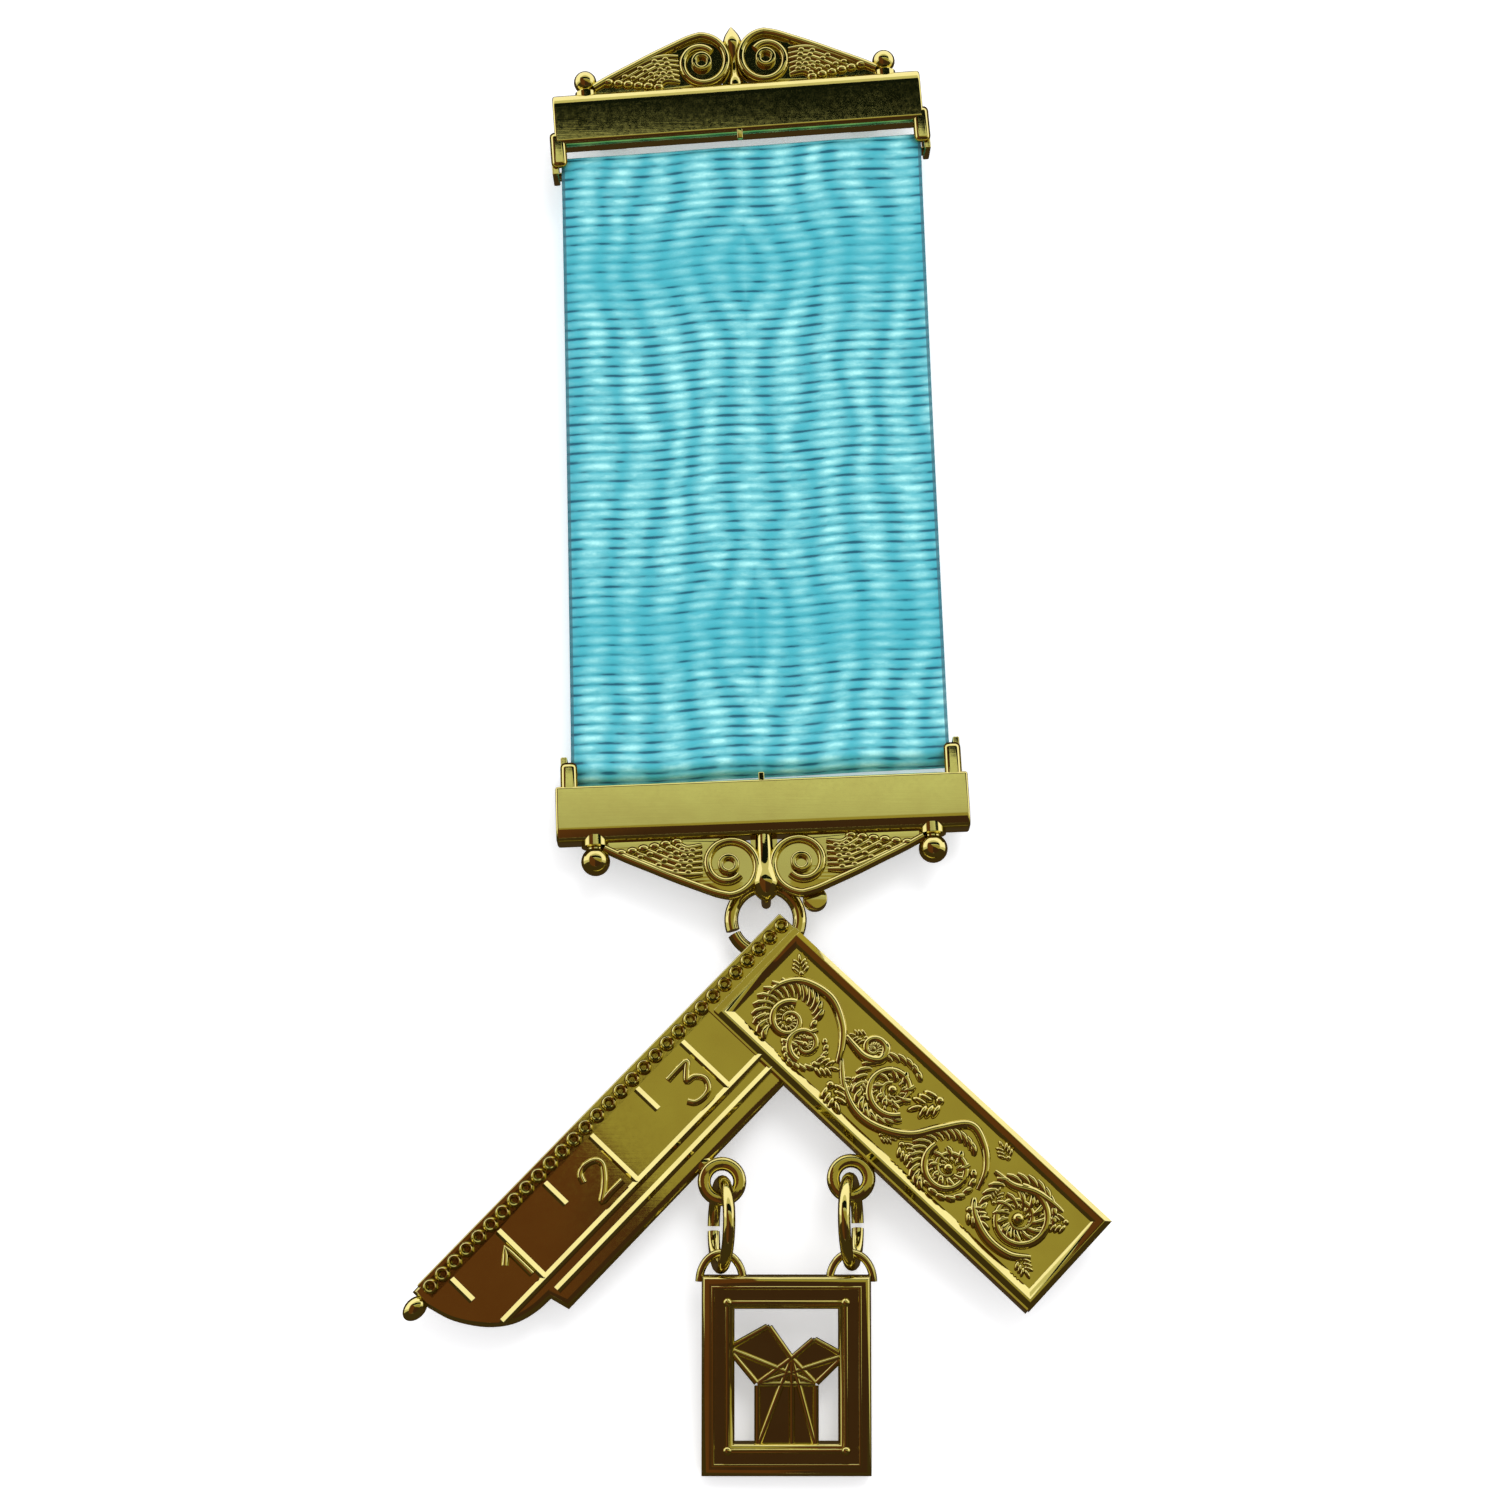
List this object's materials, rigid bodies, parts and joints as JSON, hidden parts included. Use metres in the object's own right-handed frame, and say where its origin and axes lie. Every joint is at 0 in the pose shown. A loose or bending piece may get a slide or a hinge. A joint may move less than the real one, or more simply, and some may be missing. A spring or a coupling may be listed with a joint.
{
  "type": "breast jewel",
  "caption": "Gilt breast jewel lying on its back: a pin bar and a lower bar hold a doubled ribbon, and a try square below them carries a framed geometric pendant.",
  "frame": {"origin": "middle of the jewel's box, on the surface that it lies on", "axes": "+Z out of the jewel's front, +Y towards the pin bar, +X to the right in the picture"},
  "size_m": [0.056, 0.1242, 0.0079],
  "materials": {
    "gilt": "polished gilt",
    "ribbon_silk": "watered silk"
  },
  "bodies": {
    "root": {"top_bar": "gilt", "brooch_pin": "gilt", "ribbon": "ribbon_silk", "lower_bar": "gilt", "big_ring": "gilt", "square": "gilt", "jump_ring_left": "gilt", "jump_ring_right": "gilt", "pendant": "gilt"}
  },
  "joints": []
}
